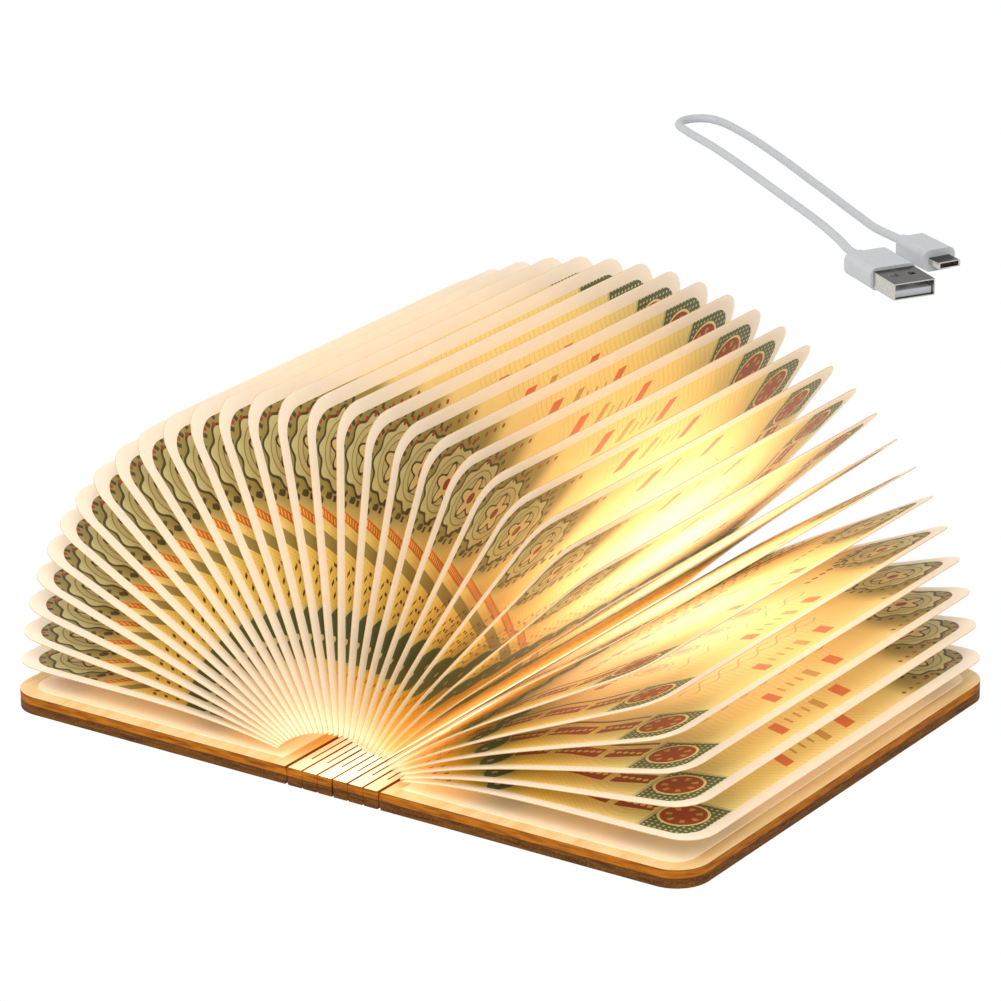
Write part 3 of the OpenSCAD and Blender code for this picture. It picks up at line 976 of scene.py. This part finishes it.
@dataclass
class LeafFan:
    """The printed leaves, each a slightly arched sheet over its flat CAD leaf."""

    UV_NAME = "LeafPlace"
    BEAM_NAME = "LampBeam"
    # The height in the UV map that marks a leaf's cut edges, which aren't printed.
    RIM = -1.0
    # Brings the height of the arch's curve, x (1 - x)^2, to 1.
    ARCH_SCALE = 6.75
    FOLD_STEP = 0.1 * MM
    SMOOTH_BELOW = math.radians(40)
    SIDEWAYS = 0.5

    count: int = 34
    thickness: float = 0.16 * MM
    fold_thickness: float = 0.3 * MM
    fold_length: float = 2.0 * MM
    corner: float = 6.5 * MM
    arch: float = 1.6 * MM
    columns: int = 16
    corner_steps: int = 5
    beam_angle: float = 43.0
    beam_spread: float = 20.0
    least_beam: float = 0.06
    far_side: float = 0.1

    def share(self, index: int) -> float:
        """Where a leaf stands in the fan, from -1 at the left to 1 at the right."""
        return 2 * index / (self.count + 1) - 1

    def pose(self, node: str) -> tuple[Vector, Vector, float, float]:
        """Read a flat CAD leaf.

        Args:
            node: The leaf's CAD node.

        Returns:
            The middle of its root, its outward direction, its length and its height.
        """
        low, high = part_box(node)
        corners = [v.co for v in frame["nodes"][node].data.vertices]
        joint = next(j for j in frame["joints"] if j["child"] == node)
        axis = Vector((joint["pos_m"][0], 0, joint["pos_m"][2]))
        flat = [Vector((c.x, 0, c.z)) for c in corners]
        reaches = [(p - axis).length for p in flat]

        def end(reach: float, room: float) -> Vector:
            """The middle of the corners that lie about that far from the joint."""
            chosen = [p for p, at in zip(flat, reaches) if abs(at - reach) < room]
            return sum(chosen, Vector()) / len(chosen)

        root = end(min(reaches), 0.4 * MM)
        outward = (end(max(reaches), 0.3 * MM) - root).normalized()
        along = [(p - root).dot(outward) for p in flat]
        start = root + outward * min(along)
        return start, outward, max(along) - min(along), high.y - low.y

    def outline(self, length: float) -> list[Point]:
        """Distances from the root, with how far the leaf's ends draw in at each."""
        straight = length - self.corner
        marks = [(0.0, 0.0), (self.fold_length, 0.0), (self.fold_length + self.FOLD_STEP, 0.0)]
        step = (straight - marks[-1][0]) / self.columns
        marks += [(marks[-1][0] + step * (i + 1), 0.0) for i in range(self.columns)]
        for i in range(self.corner_steps):
            angle = math.pi / 2 * (i + 1) / self.corner_steps
            out = straight + self.corner * math.sin(angle)
            marks.append((out, self.corner * (1 - math.cos(angle))))
        return marks

    def build_leaf(self, index: int, material: Material) -> None:
        """Make one leaf.

        Args:
            index: The leaf's number, from the left.
            material: The printed card.
        """
        node = f"leaf_{index:02d}"
        root, outward, length, height = self.pose(node)
        normal = Vector((-outward.z, 0, outward.x))
        lift = self.arch * self.share(index)
        stations = []
        for out, inset in self.outline(length):
            part = out / length
            bend = lift * self.ARCH_SCALE * part * (1 - part) ** 2
            thick = self.fold_thickness if out <= self.fold_length else self.thickness
            middle = root + outward * out + normal * bend
            stations.append(Station(out, height / 2 - inset, middle, normal * (thick / 2)))
        mesh = MeshBuilder()
        for a, b in zip(stations, stations[1:]):
            for side in (1, -1):
                # The back of a leaf is the same print, seen through it.
                spots = ((a, -1), (b, -1), (b, 1), (a, 1))[::side]
                rows = [height / 2 - at.half * end * side for at, end in spots]
                places = [(at.out / MM, row / MM) for (at, _), row in zip(spots, rows)]
                mesh.face([at.corner(side, end) for at, end in spots], places)
            for end in (1, -1):
                spots = ((a, 1), (b, 1), (b, -1), (a, -1))[::end]
                ring = [at.corner(side, end) for at, side in spots]
                mesh.face(ring, [(a.out / MM, self.RIM)] * 4)
        for at, turn in ((stations[0], 1), (stations[-1], -1)):
            spots = ((1, -1), (1, 1), (-1, 1), (-1, -1))[::turn]
            mesh.face([at.corner(*spot) for spot in spots], [(at.out / MM, self.RIM)] * 4)
        leaf = mesh.build(f"printed_{node}", material, self.UV_NAME)
        self.light(leaf, outward)
        for polygon in leaf.data.polygons:
            polygon.use_smooth = abs(polygon.normal.y) < self.SIDEWAYS
        leaf.data.set_sharp_from_angle(angle=self.SMOOTH_BELOW)
        finish_piece(leaf, node, "leaf_card", node)

    def light(self, leaf: Object, outward: Vector) -> None:
        """Keep how much of the bar's light a leaf takes: most of it goes out to both sides."""
        rise = math.degrees(math.asin(min(1.0, outward.z)))
        share = math.exp(-(((rise - self.beam_angle) / self.beam_spread) ** 2))
        level = self.least_beam + (1 - self.least_beam) * share
        if outward.x < 0:
            level *= self.far_side
        beam = leaf.data.attributes.new(self.BEAM_NAME, "FLOAT", "POINT")
        beam.data.foreach_set("value", [level] * len(leaf.data.vertices))

    def build(self, material: Material) -> None:
        """Make every leaf."""
        for index in range(1, self.count + 1):
            self.build_leaf(index, material)


@dataclass
class Hinge:
    """The living hinge: slats with fine grooves between them and short staggered cuts."""

    slats: int = 6
    bevel: float = 0.22 * MM
    cut_width: float = 0.4 * MM
    cuts: int = 4
    cut_end: float = 6.0 * MM
    bridge: float = 4.0 * MM

    def body(self, index: int) -> str:
        """The CAD body that a slat belongs to."""
        place = index - (self.slats + 1) / 2
        name = {0.5: "spine_centre", 1.5: "inner_slat", 2.5: "outer_slat"}[abs(place)]
        side = Side.LEFT if place < 0 else Side.RIGHT
        return name if name == "spine_centre" else f"{side.word}_{name}"

    def columns(self, index: int) -> tuple[list[float], float, float]:
        """The X places of a slat's two sides and of its cuts, and its two bevels."""
        low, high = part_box(f"spine_slat_{index}")
        left_is_centre = index == self.slats // 2 + 1
        right_is_centre = index == self.slats // 2
        middle = round((low.x + high.x) / 2 / MM, 1) * MM
        return (
            [low.x, middle - self.cut_width / 2, middle + self.cut_width / 2, high.x],
            0.0 if left_is_centre else self.bevel,
            0.0 if right_is_centre else self.bevel,
        )

    def build_slat(self, index: int, material: Material) -> None:
        """Make one slat as a grid of cells, from which the cuts are left out."""
        low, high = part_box(f"spine_slat_{index}")
        xs, bevel_low, bevel_high = self.columns(index)
        cut = (high.y - low.y - 2 * self.cut_end - (self.cuts - 1) * self.bridge) / self.cuts
        ys = [low.y]
        for number in range(self.cuts):
            start = low.y + self.cut_end + number * (cut + self.bridge)
            ys += [start, start + cut]
        ys.append(high.y)
        mesh = MeshBuilder()

        def solid(i: int, j: int) -> bool:
            """True where a cell of the grid is wood."""
            inside = 0 <= i < 3 and 0 <= j < len(ys) - 1
            return inside and not (i == 1 and j % 2 == 1)

        def wall(x: float, inset: float) -> list[Point]:
            """A column's side from the bottom to the top, drawn in by its bevel at both."""
            bevel = abs(inset)
            if not bevel:
                return [(x, low.z), (x, high.z)]
            level = [(x, low.z + bevel), (x, high.z - bevel)]
            return [(x + inset, low.z), *level, (x + inset, high.z)]

        for i in range(3):
            left = wall(xs[i], bevel_low if i == 0 else 0)
            right = wall(xs[i + 1], -bevel_high if i == 2 else 0)
            section = [*right, *left[::-1]]
            for j in range(len(ys) - 1):
                if not solid(i, j):
                    continue
                front, back = ys[j], ys[j + 1]
                edges = [(right[-1], left[-1]), (left[0], right[0])]
                if not solid(i + 1, j):
                    edges += zip(right, right[1:])
                if not solid(i - 1, j):
                    edges += zip(left[1:], left)
                for (x_a, z_a), (x_b, z_b) in edges:
                    near = [(x_b, front, z_b), (x_a, front, z_a)]
                    mesh.face([(x_a, back, z_a), (x_b, back, z_b), *near])
                for y, beside, turn in ((front, j - 1, 1), (back, j + 1, -1)):
                    if not solid(i, beside):
                        mesh.face([(x, y, z) for x, z in section][::turn])
        slat = mesh.build(f"hinge_slat_{index}", material)
        finish_piece(slat, self.body(index), "plywood", f"spine_slat_{index}")

    def build(self, material: Material) -> None:
        """Make every slat."""
        for index in range(1, self.slats + 1):
            self.build_slat(index, material)


@dataclass
class Covers:
    """The two plywood covers with their endpapers and magnets, all CAD nodes."""

    def build(self, wood: Material, paper: Material) -> None:
        """Dress both covers."""
        nickel = Metal("MagnetNickel", tone(200, 200, 204), 0.15).make()
        for side in Side:
            dress(f"{side.word}_cover", wood)
            dress(f"{side.word}_endpaper", paper)
            dress(f"{side.word}_magnets", nickel)


@dataclass
class LightBar:
    """The light bar along the spine, all CAD nodes."""

    def build(self) -> None:
        """Dress the bar, what it holds and its lit dome."""
        finishes = {
            "bar_tray": Plastic("TrayPlastic", tone(236, 234, 228), 0.4),
            "diffuser": Lit("LitDiffuser", tone(255, 246, 226), tone(255, 230, 176), 0.35),
            "end_caps": Lit("LitCap", tone(240, 222, 180), tone(255, 236, 190), 0.3),
            "led_board": Plastic("LedBoard", tone(240, 240, 236), 0.35, 0.3),
            "led_chips": Lit("LitPhosphor", tone(255, 214, 110), tone(255, 226, 150), 4.0),
            "battery": Metal("BatteryFoil", tone(196, 198, 202), 0.35),
            "charge_board": Plastic("SolderMask", tone(28, 92, 52), 0.3, 0.4),
            "hall_sensor": Plastic("SensorBody", tone(26, 26, 28), 0.5),
            "charge_socket": Metal("SocketMetal", tone(196, 196, 198), 0.25),
        }
        for node, finish in finishes.items():
            dress(node, finish.make())


@dataclass
class Studio:
    """The white table and the light around the lamp."""

    floor_half: float = 3.0
    sky_strength: float = 0.72

    def white_for_camera(self, g: Graph, shader: Wire, sink: NodeSocket) -> None:
        """Show plain white to the camera, mirrors and glass, and the shader to all other light."""
        rays = ("Is Camera Ray", "Is Glossy Ray", "Is Transmission Ray")
        camera, mirror, glass = (g.wired("ShaderNodeLightPath", {}, ray) for ray in rays)
        seen = camera | mirror | glass
        white = g.wired("ShaderNodeEmission", {})
        g.feed(sink, g.wired("ShaderNodeMixShader", {0: seen, 1: shader, 2: white}))

    def make_floor(self) -> None:
        """A large white table top at the height of the lamp's underside."""
        half = self.floor_half
        mesh = MeshBuilder()
        mesh.face([(-half, -half, 0), (half, -half, 0), (half, half, 0), (-half, half, 0)])
        g = Finish("Floor")
        g.set("Base Color", (0.9, 0.9, 0.9, 1.0))
        g.set("Roughness", 0.8)
        sink = g.tree.nodes["Material Output"].inputs["Surface"]
        self.white_for_camera(g, Wire(g, g.shader.outputs[0]), sink)
        floor = mesh.build("floor", g.material)

    def make_sky(self) -> None:
        """Even white light from all round, and white behind everything."""
        world = bpy.data.worlds.new("Sky")
        bpy.context.scene.world = world
        world.use_nodes = True
        g = Graph(world.node_tree)
        light = world.node_tree.nodes["Background"]
        light.inputs["Color"].default_value = (1.0, 1.0, 1.0, 1.0)
        light.inputs["Strength"].default_value = self.sky_strength
        sink = world.node_tree.nodes["World Output"].inputs["Surface"]
        self.white_for_camera(g, Wire(g, light.outputs[0]), sink)

    def add_lamp(self, name: str, place: Place, size: float, power: float) -> None:
        """A square soft lamp that faces the book.

        Args:
            name: The lamp's name.
            place: Where it hangs, in metres.
            size: The length of its side.
            power: Its power in watts.
        """
        data = bpy.data.lights.new(name, "AREA")
        data.size = size
        data.energy = power
        lamp = bpy.data.objects.new(name, data)
        lamp.location = place
        lamp.rotation_mode = "QUATERNION"
        lamp.rotation_quaternion = (-Vector(place)).to_track_quat("-Z", "Y")
        bpy.context.scene.collection.objects.link(lamp)

    def build(self) -> None:
        """Make the table, the sky and two soft lamps."""
        self.make_floor()
        self.make_sky()
        self.add_lamp("KeyLamp", (0.6, -0.9, 1.1), 0.8, 11.0)
        self.add_lamp("SideLamp", (-1.0, -0.5, 0.9), 0.8, 5.0)


def main() -> None:
    """Build the camera and the cord, then the lamp from its leaves outwards."""
    logging.basicConfig(level=logging.INFO, format="%(name)s: %(message)s")
    bpy.context.scene.view_settings.view_transform = "Standard"
    View().make()
    ChargingLead().build()
    _, _, length, height = LeafFan().pose("leaf_34")
    groups = Groups(
        design=LeafDesign(length / MM, height / MM).build(),
        fibre=paper_fibre_group(),
        glow=glow_group(),
        grain=wood_grain_group(),
        burnt=burnt_edge_group(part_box("right_cover")[1].z),
    )
    LeafFan().build(PrintedLeaf(groups).make())
    Hinge().build(Plywood(groups, "HingePlywood", glow_reach=10.0, power=0.8).make())
    Covers().build(Plywood(groups).make(), Endpaper(groups).make())
    LightBar().build()
    Studio().build()


if __name__ == "__main__":
    main()
